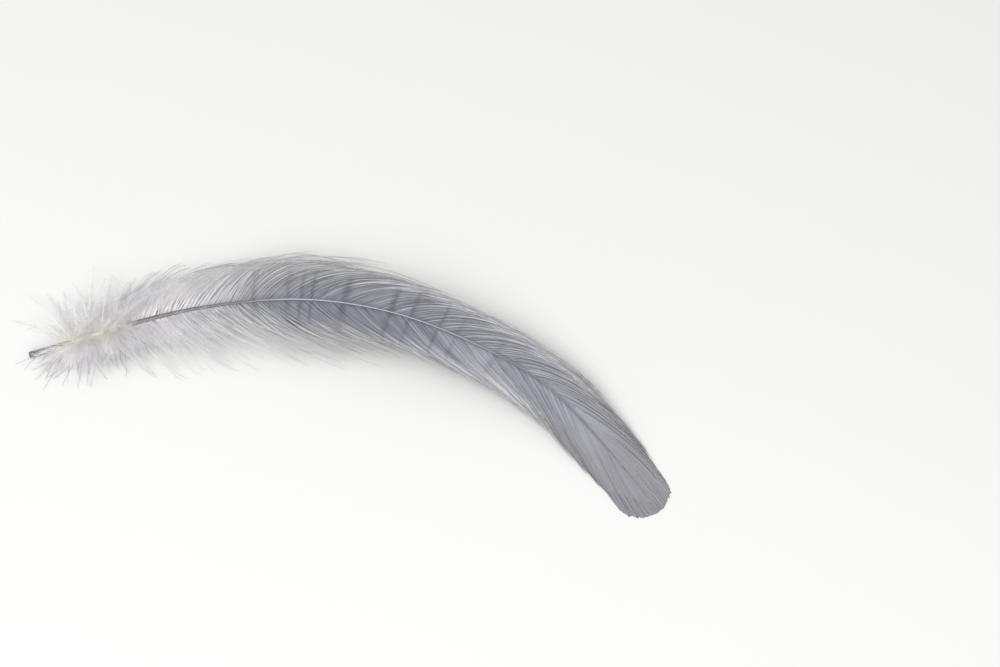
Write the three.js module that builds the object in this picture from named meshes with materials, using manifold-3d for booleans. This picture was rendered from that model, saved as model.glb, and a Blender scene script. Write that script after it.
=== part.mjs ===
// Rooster hackle feather: quill, shaft, two vanes combed into locks, and the down at the vanes' foot.
// Millimetres, +Z up. The feather lies on its quill end, its fringe and its tip, and arches between them.
import * as THREE from "three";
import { mergeVertices } from "three/addons/utils/BufferGeometryUtils.js";
import Module from "manifold-3d";

// Middle line of the shaft from the cut end of the quill to the tip of the vane.
const SHAFT_ROUTE = [
  [-63, -16.2, 0.66],
  [-54.2, -11.9, 3],
  [-44.1, -6.1, 5.3],
  [-31, 0.3, 7.3],
  [-13, 6.3, 8.7],
  [4.4, 8.3, 8.5],
  [22.5, 6.7, 6.8],
  [38.1, 2.6, 4.4],
  [50.8, -5, 1.9],
  [57.6, -10.1, 0.8],
  [64.2, -16.2, 0.2],
];
const VANE_LENGTH = 141.6;

// Shaft: radius by station, which is the length along the middle line from the cut end.
const SHAFT_END = 128;
const SHAFT_SIDES = 10;
const SHAFT_STEPS = 36;
const SHAFT_RADIUS = [[0, 0.7], [9, 0.72], [18, 0.6], [40, 0.4], [70, 0.3], [110, 0.24], [128, 0.2]];
const PITH_RADIUS = 0.45;
const PITH_DEPTH = 7;
const PITH_STEPS = 4;
const PITH_OVERSHOOT = 1;

// Vanes: how far a barb reaches sideways, runs ahead and sags, by the station of its root.
const VANE_FROM = 15;
const TIP_FROM = 112;
const TIP_LAST_ROOT = 130;
const TIP_ROUNDING = 4;
const TIP_TAPER = 1.5;
const FAR_REACH = [[15, 13.8], [26, 16.8], [37, 16.8], [48, 11.2], [60, 7.8], [76, 7.2], [92, 6.6], [112, 5.6]];
const NEAR_REACH = [[15, 11.5], [26, 11.8], [38, 10.2], [50, 8], [62, 6.8], [76, 6.8], [92, 6.4], [112, 5.6]];
const LEAD = [[15, 10], [28, 16], [42, 22], [60, 24], [112, 25]];
const FAR_SAG = [[15, 6.6], [28, 8.7], [38, 9], [50, 2.6], [62, 0.2], [90, 0.2], [112, 0.6], [130, 0.3]];
const NEAR_SAG = [[15, 6.6], [28, 8.7], [38, 8.4], [50, 4], [62, 2], [90, 1.4], [112, 0.9], [130, 0.3]];
const LEAD_BEND = 0.8;
const REACH_BOW = 1.8;
const SAG_BOW = 1.6;

// Locks: each vane side is one web, notched between its locks.
const LOCKS_PER_VANE = 28;
const LOCK_STEPS = 7;
const LOOSE_NOTCH = 2;
const WEB_NOTCH = 6;
const LOOSE_UNTIL = 25;
const WEB_FROM = 50;
const VANE_THICKNESS = 0.3;
const CREASE_THICKNESS = 0.2;
const LOCK_TAPER = 1.4;
const LOCK_UNEVENNESS = 0.22;
const LOCK_RHYTHM = 2.4;

// Down: short loose locks round the foot of the shaft.
const DOWN_LOCKS_PER_SIDE = 11;
const DOWN_FROM = 6.5;
const DOWN_STEP = 0.95;
const FAR_DOWN_TURN = [-22, 48];
const NEAR_DOWN_TURN = [-48, 42];
const FAR_DOWN_LENGTH = 12;
const NEAR_DOWN_LENGTH = 9;
const DOWN_UNEVENNESS = 0.14;
const DOWN_RHYTHM = 2.7;
const DOWN_WIDTH = 1.7;
const DOWN_TIP_WIDTH = 0.25;
const DOWN_THICKNESS = 0.5;
const DOWN_TIP_THICKNESS = 0.3;
const DOWN_STEPS = 4;
const DOWN_FALL = 1.6;

const UP = new THREE.Vector3(0, 0, 1);
const FAR = 1;
const NEAR = -1;

const route = new THREE.CatmullRomCurve3(SHAFT_ROUTE.map((p) => new THREE.Vector3(...p)));
route.arcLengthDivisions = 1000;
const routeLength = route.getLength();

// Smooth value between the points of a profile.
function along(profile, x) {
  const at = THREE.MathUtils.clamp(x, profile[0][0], profile[profile.length - 1][0]);
  const last = profile.length - 2;
  const found = profile.findIndex((point) => point[0] >= at) - 1;
  const i = THREE.MathUtils.clamp(found, 0, last);
  const slope = (a, b) => (b[1] - a[1]) / (b[0] - a[0]);
  const [start, end] = [profile[i], profile[i + 1]];
  const slopeIn = slope(profile[Math.max(i - 1, 0)], end);
  const slopeOut = slope(start, profile[Math.min(i + 2, last + 1)]);
  const span = end[0] - start[0];
  const f = (at - start[0]) / span;
  const ease = f * f * (3 - 2 * f);
  const bendIn = f * (1 - f) * (1 - f) * span * slopeIn;
  const bendOut = f * f * (1 - f) * span * slopeOut;
  return start[1] + (end[1] - start[1]) * ease + bendIn - bendOut;
}

// Place and directions at a station. Past the ends of the route the line runs on straight.
function stationFrame(station) {
  const inside = THREE.MathUtils.clamp(station, 0, routeLength);
  const forward = route.getTangentAt(inside / routeLength);
  const point = route.getPointAt(inside / routeLength).addScaledVector(forward, station - inside);
  const sideways = new THREE.Vector3().crossVectors(UP, forward).normalize();
  const normal = new THREE.Vector3().crossVectors(forward, sideways);
  return { point, forward, sideways, normal };
}

// Middle of a barb's path, at t from 0 at the shaft to 1 at its tip.
function barbPoint(side, root, t) {
  const reach = along(side === FAR ? FAR_REACH : NEAR_REACH, root);
  const tipShare = THREE.MathUtils.clamp((root - TIP_FROM) / (TIP_LAST_ROOT - TIP_FROM), 0, 1);
  const sideShare = 1 - Math.pow(tipShare, TIP_TAPER);
  const bluntEnd = VANE_LENGTH - TIP_ROUNDING * (1 - Math.sqrt(1 - sideShare * sideShare));
  const lead = root > TIP_FROM ? bluntEnd - root : along(LEAD, root);
  const sag = along(side === FAR ? FAR_SAG : NEAR_SAG, root);
  const { point, sideways } = stationFrame(root + lead * (LEAD_BEND * t + (1 - LEAD_BEND) * t * t));
  point.addScaledVector(sideways, side * reach * sideShare * (1 - Math.pow(1 - t, REACH_BOW)));
  point.z -= sag * Math.pow(t, SAG_BOW);
  return point;
}

// A point of a thin sheet: half a thickness above or below its middle, and never below the ground.
function sheetPoint(middle, thickness, face) {
  const height = Math.max(middle.z, thickness / 2) + (face * thickness) / 2;
  return new THREE.Vector3(middle.x, middle.y, height);
}

function closedGeometry(vertices, triangles) {
  const geometry = new THREE.BufferGeometry().setFromPoints(vertices);
  geometry.setIndex(triangles);
  return mergeVertices(geometry, 1e-4);
}

// Where the locks part along the shaft, and the step along a barb at which each gap between them opens.
// The last edge is the tip's own middle line, which never opens.
function lockEdges() {
  const edges = [];
  for (let i = 0; i <= LOCKS_PER_VANE; i++) {
    const uneven = i === 0 || i === LOCKS_PER_VANE ? 0 : LOCK_UNEVENNESS * Math.sin(i * LOCK_RHYTHM);
    const root = THREE.MathUtils.lerp(VANE_FROM, TIP_LAST_ROOT, (i + uneven) / LOCKS_PER_VANE);
    const inWeb = THREE.MathUtils.smoothstep(root, LOOSE_UNTIL, WEB_FROM);
    const everyThird = i % 3 === 0 ? 1 : 0;
    const notch = Math.round(THREE.MathUtils.lerp(LOOSE_NOTCH, WEB_NOTCH, inWeb)) - everyThird;
    edges.push({ root, notch: i === LOCKS_PER_VANE ? Infinity : notch });
  }
  return edges;
}

// Root station of a lock's edge at t: its own until the notch, then drawn towards the lock's crest.
function edgeRoot(edge, crest, t) {
  const notchT = edge.notch / LOCK_STEPS;
  if (t <= notchT) return edge.root;
  return THREE.MathUtils.lerp(edge.root, crest, Math.pow((t - notchT) / (1 - notchT), LOCK_TAPER));
}

// Both vanes as one closed sheet, which meets in the middle of the shaft. A lock has an edge, a crest
// and an edge; before its notches it shares its edges with its neighbours, and past them it narrows.
function vaneGeometry() {
  const vertices = [];
  const triangles = [];
  const edges = lockEdges();

  function addPoint(side, root, t, thickness, face) {
    vertices.push(sheetPoint(barbPoint(side, root, t), thickness, face));
    return vertices.length - 1;
  }

  function addQuad(side, face, a, b, c, d) {
    if (face * side > 0) triangles.push(a, b, c, b, d, c);
    else triangles.push(a, c, b, b, c, d);
  }

  function addRow(side, edge, crest, nextEdge, step, face) {
    const t = step / LOCK_STEPS;
    const middle = addPoint(side, crest, t, VANE_THICKNESS, face);
    const pointed = (e) => step === LOCK_STEPS && e.notch < LOCK_STEPS;
    const atEdge = (e) => addPoint(side, edgeRoot(e, crest, t), t, CREASE_THICKNESS, face);
    return [pointed(edge) ? middle : atEdge(edge), middle, pointed(nextEdge) ? middle : atEdge(nextEdge)];
  }

  function addLock(side, edge, nextEdge) {
    const crest = (edge.root + nextEdge.root) / 2;
    const top = [];
    const bottom = [];
    for (let step = 0; step <= LOCK_STEPS; step++) {
      top.push(addRow(side, edge, crest, nextEdge, step, 1));
      bottom.push(addRow(side, edge, crest, nextEdge, step, -1));
    }
    for (let step = 0; step < LOCK_STEPS; step++) {
      const [upper, upperNext] = [top[step], top[step + 1]];
      const [lower, lowerNext] = [bottom[step], bottom[step + 1]];
      for (const half of [0, 1]) {
        addQuad(side, 1, upper[half], upper[half + 1], upperNext[half], upperNext[half + 1]);
        addQuad(side, -1, lower[half], lower[half + 1], lowerNext[half], lowerNext[half + 1]);
      }
      const open = edge === edges[0] || step >= edge.notch;
      const nextOpen = step >= nextEdge.notch;
      if (open) addQuad(side, 1, lower[0], upper[0], lowerNext[0], upperNext[0]);
      if (nextOpen) addQuad(side, 1, upper[2], lower[2], upperNext[2], lowerNext[2]);
    }
    if (nextEdge.notch > LOCK_STEPS) {
      const [upper, lower] = [top[LOCK_STEPS], bottom[LOCK_STEPS]];
      addQuad(side, 1, upper[1], upper[2], lower[1], lower[2]);
    }
  }

  for (const side of [FAR, NEAR]) {
    for (let lock = 0; lock < LOCKS_PER_VANE; lock++) addLock(side, edges[lock], edges[lock + 1]);
  }
  return closedGeometry(vertices, triangles);
}

// A three.js solid bent into place: every vertex goes where the place function puts it.
function bent(geometry, place) {
  const position = geometry.getAttribute("position");
  const points = [];
  for (let i = 0; i < position.count; i++) {
    points.push(place(position.getX(i), position.getY(i), position.getZ(i)));
  }
  return closedGeometry(points, Array.from(geometry.index.array));
}

// Round bar along the middle line from one station to another.
function barGeometry(from, to, steps, radiusAt) {
  const bar = new THREE.CylinderGeometry(1, 1, 1, SHAFT_SIDES, steps);
  return bent(bar, (x, y, z) => {
    const station = THREE.MathUtils.lerp(from, to, y + 0.5);
    const { point, sideways, normal } = stationFrame(station);
    const radius = radiusAt(station);
    point.addScaledVector(sideways, z * radius);
    point.addScaledVector(normal, x * radius);
    point.z = Math.max(point.z, 0);
    return point;
  });
}

// One lock of down: it springs from the shaft, spreads and comes down to the ground.
function downGeometry(side, index) {
  const root = DOWN_FROM + index * DOWN_STEP;
  const share = index / (DOWN_LOCKS_PER_SIDE - 1);
  const [turnFrom, turnTo] = side === FAR ? FAR_DOWN_TURN : NEAR_DOWN_TURN;
  const turn = THREE.MathUtils.degToRad(THREE.MathUtils.lerp(turnFrom, turnTo, share));
  const fullLength = side === FAR ? FAR_DOWN_LENGTH : NEAR_DOWN_LENGTH;
  const length = fullLength * (1 + DOWN_UNEVENNESS * Math.sin(index * DOWN_RHYTHM + side));
  const blade = new THREE.BoxGeometry(1, 1, 1, 2, 1, DOWN_STEPS);
  return bent(blade, (x, y, z) => {
    const t = z + 0.5;
    const { point, forward, sideways } = stationFrame(root);
    const across = -side * x * THREE.MathUtils.lerp(DOWN_WIDTH, DOWN_TIP_WIDTH, t * t);
    const out = length * t;
    const thickness = THREE.MathUtils.lerp(DOWN_THICKNESS, DOWN_TIP_THICKNESS, t);
    point.addScaledVector(sideways, side * (out * Math.cos(turn) - across * Math.sin(turn)));
    point.addScaledVector(forward, out * Math.sin(turn) + across * Math.cos(turn));
    point.z -= DOWN_FALL * point.z * Math.pow(t, SAG_BOW);
    return sheetPoint(point, thickness, 2 * y);
  });
}

const wasm = await Module();
wasm.setup();

function solidOf(geometry) {
  const mesh = new wasm.Mesh({
    numProp: 3,
    vertProperties: new Float32Array(geometry.getAttribute("position").array),
    triVerts: new Uint32Array(geometry.index.array),
  });
  const solid = new wasm.Manifold(mesh);
  if (solid.volume() > 0) return solid;
  throw new Error("a solid of the feather is inside out");
}

function geometryOf(solid) {
  const { vertProperties, triVerts } = solid.getMesh();
  const geometry = new THREE.BufferGeometry();
  geometry.setAttribute("position", new THREE.BufferAttribute(vertProperties, 3));
  geometry.setIndex(new THREE.BufferAttribute(triVerts, 1));
  geometry.computeVertexNormals();
  return geometry;
}

const shaft = barGeometry(0, SHAFT_END, SHAFT_STEPS, (station) => along(SHAFT_RADIUS, station));
const pith = barGeometry(-PITH_OVERSHOOT, PITH_DEPTH, PITH_STEPS, () => PITH_RADIUS);

let solid = solidOf(shaft).add(solidOf(vaneGeometry()));
for (const side of [FAR, NEAR]) {
  for (let i = 0; i < DOWN_LOCKS_PER_SIDE; i++) solid = solid.add(solidOf(downGeometry(side, i)));
}
// Crossing locks can shut in a small hollow, which is a body of its own here and is filled.
const [body] = solid.decompose().sort((a, b) => b.volume() - a.volume());
const featherSolid = body.subtract(solidOf(pith));

const barbGrey = new THREE.MeshStandardMaterial({ color: 0x9496a0, roughness: 0.75, metalness: 0 });
const feather = new THREE.Mesh(geometryOf(featherSolid), barbGrey);
feather.name = "feather";

const part = new THREE.Group();
part.add(feather);

export default part;
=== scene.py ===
"""Rooster hackle feather: shaft, combed barbs, loose fringe and down, with a plain studio round it."""

import math

import bmesh
import bpy
from bpy.props import FloatProperty, FloatVectorProperty, IntProperty, PointerProperty
from mathutils import Color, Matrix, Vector


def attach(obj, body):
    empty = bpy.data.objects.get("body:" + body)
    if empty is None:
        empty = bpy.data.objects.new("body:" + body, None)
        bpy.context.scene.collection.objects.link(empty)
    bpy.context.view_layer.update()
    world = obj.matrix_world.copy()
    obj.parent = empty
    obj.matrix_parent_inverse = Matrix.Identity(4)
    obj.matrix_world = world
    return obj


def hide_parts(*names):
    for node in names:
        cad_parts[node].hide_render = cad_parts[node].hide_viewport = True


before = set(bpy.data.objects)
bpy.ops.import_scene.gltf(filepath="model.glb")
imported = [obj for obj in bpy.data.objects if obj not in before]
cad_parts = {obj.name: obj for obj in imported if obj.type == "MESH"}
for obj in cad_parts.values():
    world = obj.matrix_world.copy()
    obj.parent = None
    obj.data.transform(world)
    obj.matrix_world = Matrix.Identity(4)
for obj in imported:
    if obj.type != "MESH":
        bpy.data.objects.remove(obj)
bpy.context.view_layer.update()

bl_info = {
    "name": "Rooster Hackle Feather",
    "version": (1, 0, 0),
    "blender": (4, 5, 0),
    "location": "3D View > Sidebar > Feather",
    "description": "Builds a hackle feather from its shaft, barbs, fringe and down",
    "category": "Object",
}

MM = 0.001
BODY = "root"
SOLID = "feather"

# Middle line of the shaft in millimetres, from the cut end of the quill to the tip, as the solid has it.
SHAFT_ROUTE = [
    (-63, -16.2, 0.66),
    (-54.2, -11.9, 3),
    (-44.1, -6.1, 5.3),
    (-31, 0.3, 7.3),
    (-13, 6.3, 8.7),
    (4.4, 8.3, 8.5),
    (22.5, 6.7, 6.8),
    (38.1, 2.6, 4.4),
    (50.8, -5, 1.9),
    (57.6, -10.1, 0.8),
    (64.2, -16.2, 0.2),
]
VANE_LENGTH = 141.6
STEPS_PER_SPAN = 48
LINE_MARGIN = 0.2

# Barbs by the station of their root, in millimetres along the middle line, as the solid's locks have them.
FAR, NEAR = 1, -1
TIP_FROM = 112
TIP_LAST_ROOT = 130
TIP_ROUNDING = 4
TIP_TAPER = 1.5
REACH = {
    FAR: [(15, 13.8), (26, 16.8), (37, 16.8), (48, 11.2), (60, 7.8), (76, 7.2), (92, 6.6), (112, 5.6)],
    NEAR: [(15, 11.5), (26, 11.8), (38, 10.2), (50, 8), (62, 6.8), (76, 6.8), (92, 6.4), (112, 5.6)],
}
LEAD = [(15, 8), (21, 11), (28, 15), (42, 22), (60, 24), (112, 25)]
SAG = {
    FAR: [(15, 6.6), (28, 8.7), (38, 9), (50, 2.6), (62, 0.2), (90, 0.2), (112, 0.6), (130, 0.3)],
    NEAR: [(15, 6.6), (28, 8.7), (38, 8.4), (50, 4), (62, 2), (90, 1.4), (112, 0.9), (130, 0.3)],
}
LEAD_BEND = 0.68
REACH_BOW = [(15, 1.25), (34, 1.5), (52, 2.4), (66, 2.4), (84, 2.0), (104, 1.6), (130, 1.4)]
SAG_BOW = 1.6
LAST_ROOT = 130.5
LAST_LOOSE_ROOT = 106
FLUFF_THINS, LAST_FLUFF_ROOT = 30.0, 42.0

# Past the down, barbs are bare like a comb next to the shaft: the stations between which this sets in,
# and the share of a barb that is bare.
COMB_FROM, COMB_FULL = 19, 30
COMB_SHARE = 0.36

# Barbs that come down to the ground lie on each other there, in a thinner layer at the tip.
GROUND_GAP = 0.01
BARB_GAP, BARB_PILE = 0.08, 0.5
PILE_FULL, PILE_LOW = 96, 114
TIP_PILE = 0.25

# Share of a barb that is webbed to its neighbours, and the web's width as a share of its full one.
WEB_SHARE = [(15, 0.12), (34, 0.25), (46, 0.5), (60, 0.66), (94, 0.74), (109, 1.3), (130, 1.3)]
WEB_WIDTH = [(15, 0.4), (22, 0.72), (34, 0.78), (42, 0.85), (50, 1.0), (96, 0.95), (112, 0.75), (130, 0.6)]
FREE_WIDTH = [(15, 0.8), (36, 0.85), (56, 1.0), (112, 1.0), (130, 1.0)]
WEB_FADE = 0.2

# How firmly the barbs draw together into locks, and how unevenly long they are, by the station of the root.
LOCK_HOLD = [(15, 1.0), (36, 0.95), (48, 0.5), (64, 0.4), (84, 0.45), (104, 0.6), (118, 0.15), (130, 0.1)]
UNEVENNESS = [(15, 1.0), (36, 0.9), (50, 0.45), (64, 0.3), (102, 0.2), (112, 0.04), (130, 0.02)]

# Share of the barbs that end short of the margin, and how much of such a barb may be missing,
# by the station of the root.
BROKEN = {
    FAR: [(15, 0.5), (30, 0.6), (42, 0.5), (56, 0.3), (104, 0.15), (112, 0), (130, 0)],
    NEAR: [(15, 0.86), (36, 0.84), (46, 0.6), (60, 0.3), (104, 0.15), (112, 0), (130, 0)],
}
MISSING = {
    FAR: [(15, 0.6), (30, 0.65), (42, 0.5), (56, 0.3), (112, 0.15), (130, 0.05)],
    NEAR: [(15, 0.75), (36, 0.8), (46, 0.6), (60, 0.3), (112, 0.15), (130, 0.05)],
}
BUNCH_SIZE = 3.4

# How barbs and locks differ from one to the next. A pair is the lowest and the highest share that is drawn.
ROOT_JITTER = (0.1, 0.9)
LENGTH_LOST = (0.0, 0.25)
MISSING_SPREAD = (0.55, 1.1)
LOCK_WAVES, LOCK_WAVE_SIZE = 0.7, 0.3
LOCK_DRAW, LOCK_DRAW_POWER = (0.4, 1.1), 1.4
BUNCH_FROM, BUNCH_TO, BUNCH_MOST = 0.5, 1.15, 0.9
BUNCH_SPREAD = (0.3, 1.0)
LEAD_SPREAD = (-0.03, 0.01)
LOOSE_LOCK_LEAD, LOOSE_BARB_LEAD = (-0.25, 0.25), (-0.16, 0.16)
LOCK_REACH, BARB_REACH = (-0.6, 0.6), (-1, 1)
LOCK_WEB = (-0.1, 0.06)
LIFT_SPREAD = (-0.5, 0.5)
LIFT_IN_WEB, LIFT_AT_TIP = 0.35, 0.2
SWAY_WAVES, FULL_TURN = 7, 6.3
VANE_TILT = 0.3
SHORTEST_REST = 0.0001

# How a barb narrows towards its end, and how it is rolled about its own line.
FREE_TAPER = 0.35
END_POWER = 10
END_TAPER, TIP_END_TAPER = 0.8, 0.3
END_TAPER_FROM, END_TAPER_TO = 106, 118
ROLL_SPREAD = (0.4, 1.6)
ROLL_FULL, ROLL_LOW, TIP_ROLL = 96, 118, 0.3

# Growth bars across the vane: station, half width and strength.
GROWTH_BARS = [
    (46, 0.8, 1.0),
    (52.6, 0.9, 0.6),
    (55.4, 0.5, 0.7),
    (57.6, 0.5, 0.8),
    (64, 1.3, 0.7),
    (73.4, 0.8, 0.8),
    (77.6, 0.6, 0.9),
    (83.4, 0.45, 0.8),
    (87.6, 0.4, 0.7),
    (96, 1.0, 0.35),
]

# Shaft: its radius by the station, the open pith and slanting cut at its foot, and the groove below it.
SHAFT_RADIUS = [
    (0, 0.68),
    (9, 0.7),
    (18, 0.58),
    (29, 0.45),
    (37, 0.35),
    (48, 0.23),
    (60, 0.16),
    (86, 0.11),
    (100, 0.06),
    (132, 0.03),
]
SHAFT_END = 132
PITH_DEPTH = 7
PITH_SHARE = 0.64
LIP_SHARES = (0.8, 0.93)
CUT_SLANT, CUT_LENGTH = 0.35, 3
GROOVE_FROM, GROOVE_FULL = 14, 30
GROOVE_DEPTH, GROOVE_POWER = 0.3, 6

# Down: short soft barbs all round the foot of the shaft, turned back at its start and ahead at its end.
DOWN_FIRST, DOWN_LAST = 6.5, 19.5
DOWN_TURN = {FAR: (-24, 50), NEAR: (-58, 42)}
DOWN_ON_TOP = 0.3
FAR_DOWN_SHARE = 1.55
FAR_HAIR_SHARE = 0.3
FAR_DOWN_LOWER, FAR_DOWN_SOFTER = 0.4, 0.45
TOP_DOWN_SHORTER, TOP_DOWN_HIGHER = 0.45, 0.25
DOWN_TURN_SPREAD, TOP_DOWN_TURN = (-30, 30), (40, 86)
DOWN_BEND = (-0.22, 0.22)
DOWN_LENGTHS = (0.55, 1.15)
DOWN_RISE, DOWN_FALL, FALL_SHARE = (-0.3, 1.0), (0.1, 0.5), 0.5
DOWN_SHORTENS = 0.12
STEM_TAPER = 0.65

# Hairs on a soft barb. A pair is the lowest and the highest share or angle that is drawn.
HAIR_ANGLES, HAIR_ROUND = (0.4, 1.5), (-1.1, 1.1)
HAIR_LENGTHS = (0.35, 1.25)
HAIR_LEAN, HAIR_DROOP = (0.1, 0.6), (0.0, 0.35)
OUTER_HAIR_LOSS, LAST_HAIR_LENGTH = 0.75, 0.3
HAIR_TAPER = 0.75

# Camera: it looks at the ground below the photo's middle, from the height that the photo was taken.
VIEW_TARGET = (25.0, 15.04, 0)
VIEW_AZIMUTH = 16.04
VIEW_ELEVATION = 55
VIEW_DISTANCE = 472.2
VIEW_LENS = 85
VIEW_SENSOR = 36
VIEW_FROM = 0.01

# Floor and soft lights, in metres.
FLOOR_SIDES, FLOOR_RADIUS = 96, 2.5
FLOOR_FIBRE = (0.75, 0.75, 0.76, 1)
KEY_PLACE, KEY_SIZE = (-0.35, -0.25, 0.7), 0.7
FILL_PLACE, FILL_SIZE = (0.14, -0.66, 0.7), 0.9


def paint(red, green, blue):
    """Linear colour from the 0 to 255 values that a screen shows."""
    shares = [value / 255 for value in (red, green, blue)]
    return tuple(share / 12.92 if share <= 0.04045 else ((share + 0.055) / 1.055) ** 2.4 for share in shares)


def colour_setting(name, description, screen_colour):
    tint = paint(*screen_colour)
    return FloatVectorProperty(
        name=name, description=description, default=tint, subtype="COLOR", size=3, min=0, max=1
    )


def length_setting(name, description, millimetres):
    return FloatProperty(
        name=name, description=description, default=millimetres * MM, min=0, subtype="DISTANCE", unit="LENGTH"
    )


def count_setting(name, description, count, fewest=0, most=10000):
    return IntProperty(name=name, description=description, default=count, min=fewest, max=most)


def power_setting(name, description, watts):
    return FloatProperty(name=name, description=description, default=watts, min=0, unit="POWER")


def share_setting(name, description, default):
    return FloatProperty(name=name, description=description, default=default, min=0, max=4, subtype="FACTOR")


class ShaftSettings(bpy.types.PropertyGroup):
    """Sizes and colours of the quill and shaft"""

    sides: count_setting("Sides", "Faces round the shaft", 24, 8, 64)
    ring_gap: length_setting("Ring Gap", "Length of one ring of faces along the shaft", 0.55)
    roughness: share_setting("Roughness", "Roughness of the horn of the shaft", 0.38)
    cut_end: colour_setting("Cut End", "Slate blue of the cut end of the quill", (78, 84, 98))
    quill: colour_setting("Quill", "Translucent grey blue of the bare quill", (102, 106, 119))
    foot: colour_setting("Foot", "Cream of the shaft where the down grows", (206, 198, 182))
    stem: colour_setting("Stem", "Warm grey of the shaft's first third", (99, 93, 94))
    # Painted highlight: this pale lilac is painted along the top of the outer shaft, and it also makes the
    # shaft's pale streaks.
    core: colour_setting("Core", "Pale lilac ridge of the outer shaft", (172, 169, 178))
    # Painted shade: this dark colour is painted on the sides and underside of the outer shaft, and at the
    # edges of the barbs.
    edge: colour_setting("Edge", "Dark sides of the outer shaft", (74, 72, 84))
    outermost: colour_setting("Outermost", "Grey of the shaft where the vane hides it", (150, 149, 155))


class VaneSettings(bpy.types.PropertyGroup):
    """Sizes and colours of the webbed barbs"""

    barbs: count_setting("Barbs", "Barbs on each side of the shaft", 360, 60, 900)
    seed: count_setting("Seed", "Starts the random differences between barbs", 3)
    web_width: length_setting("Web Width", "Width of a barb where it is webbed to the next", 0.52)
    free_width: length_setting("Free Width", "Width of a barb's loose end", 0.14)
    thickness: length_setting("Thickness", "Thickness of a barb", 0.08)
    lock_size: length_setting("Lock Size", "Length of shaft whose barbs draw together", 1.5)
    lock_pull: share_setting("Lock Pull", "How far the barbs of a lock draw together", 0.5)
    web_dark: colour_setting("Web, Dark", "Darker barbs of the web", (114, 116, 126))
    web_light: colour_setting("Web, Light", "Lighter barbs of the web", (176, 178, 185))
    # Painted shade: this dark colour stands for the shade in the gaps between barbs and where they meet the
    # shaft.
    crease_shade: colour_setting("Crease", "Dark gaps between the barbs of the web", (84, 86, 97))
    growth_bar: colour_setting("Growth Bar", "Dark bars across the web", (66, 68, 82))
    free_end: colour_setting("Free End", "Pale loose ends of the barbs", (208, 207, 209))
    tip: colour_setting("Tip", "Lilac grey of the feather's tip", (131, 129, 134))
    foot: colour_setting("Foot", "Pale barbs at the foot of the vane", (250, 248, 249))
    foot_dark: colour_setting("Foot, Dark", "Darker barbs at the foot of the vane", (234, 232, 238))
    foot_end: colour_setting("Foot, Ends", "Grey ends of the barbs at the foot of the vane", (150, 149, 158))


class FringeSettings(bpy.types.PropertyGroup):
    """Sizes of the loose hairs that stand out of the web"""

    hairs: count_setting("Hairs", "Loose hairs on each side of the shaft", 300)
    seed: count_setting("Seed", "Starts the random differences between hairs", 11)
    width: length_setting("Width", "Width of a loose hair", 0.16)
    reach: share_setting("Reach", "Reach of the hairs as a share of the barbs'", 0.95)
    spread: share_setting("Spread", "Difference in reach from one hair to the next", 0.1)
    overlength: share_setting("Overlength", "How much further than the barbs a hair may run", 0.9)
    breakage: share_setting("Breakage", "Share of the hairs that end as short as broken barbs do", 0.45)
    lift: length_setting("Lift", "How far hairs stand off the web", 0.9)
    waver: length_setting("Waver", "How far hairs bend to and fro", 0.5)


class DownSettings(bpy.types.PropertyGroup):
    """Sizes and colours of the down at the foot of the feather"""

    stems: count_setting("Stems", "Soft barbs round the foot of the shaft", 130, 2)
    seed: count_setting("Seed", "Starts the random differences between stems", 21)
    length: length_setting("Length", "Length of a soft barb", 10.8)
    stem_width: length_setting("Stem Width", "Width of a soft barb's stem", 0.15)
    hairs_per_stem: count_setting("Hairs", "Hairs on each soft barb", 75, 1)
    hair_length: length_setting("Hair Length", "Length of a hair of the down", 3.1)
    hair_width: length_setting("Hair Width", "Width of a hair of the down", 0.036)
    fluff_hairs: count_setting("Fluff Hairs", "Hairs on each barb at the foot of the vane", 88, 1)
    white: colour_setting("White", "Lightest hairs of the down", (252, 250, 248))
    lilac: colour_setting("Lilac", "Lilac grey hairs of the down", (232, 230, 238))
    cream: colour_setting("Cream", "Cream of the down next to the shaft", (246, 240, 224))
    dusk: colour_setting("Dusk", "Grey of the last soft hairs along the vane", (170, 172, 180))
    spike: colour_setting("Spike", "Lilac grey of the bare ends of the soft barbs", (138, 136, 152))


class StageSettings(bpy.types.PropertyGroup):
    """Floor, lights and camera"""

    floor: colour_setting("Floor", "Colour of the floor", (217, 217, 215))
    sky: share_setting("Sky", "Strength of the light from all round", 0.62)
    key: power_setting("Key", "Power of the main soft light", 2.1)
    fill: power_setting("Fill", "Power of the soft light in front", 8.3)


class MiddleLine:
    """Centripetal curve through the shaft's route, read by station in millimetres."""

    def __init__(self, route):
        knots = [Vector(point) for point in route]
        knots = [knots[0] * 2 - knots[1]] + knots + [knots[-1] * 2 - knots[-2]]
        self.points = [knots[1]]
        for span in range(len(knots) - 3):
            self.points += self.span_points(*knots[span:span + 4])
        self.stations = [0.0]
        for last, point in zip(self.points, self.points[1:]):
            self.stations.append(self.stations[-1] + (point - last).length)
        self.length = self.stations[-1]

    def span_points(self, before, start, end, after):
        gap_before = (start - before).length ** 0.5
        gap = (end - start).length ** 0.5
        gap_after = (after - end).length ** 0.5
        leave = (start - before) / gap_before - (end - before) / (gap_before + gap) + (end - start) / gap
        arrive = (end - start) / gap - (after - start) / (gap + gap_after) + (after - end) / gap_after
        leave = leave * gap
        arrive = arrive * gap
        square = (end - start) * 3 - leave * 2 - arrive
        cube = (start - end) * 2 + leave + arrive
        shares = [step / STEPS_PER_SPAN for step in range(1, STEPS_PER_SPAN + 1)]
        return [start + (leave + (square + cube * share) * share) * share for share in shares]

    def at(self, station):
        """Place at a station and the way ahead there."""
        step = 1
        while step < len(self.stations) - 1 and self.stations[step] < station:
            step += 1
        start, end = self.points[step - 1], self.points[step]
        share = (station - self.stations[step - 1]) / (self.stations[step] - self.stations[step - 1])
        return start.lerp(end, share), (end - start).normalized()


MIDDLE_LINE = MiddleLine(SHAFT_ROUTE)


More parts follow.
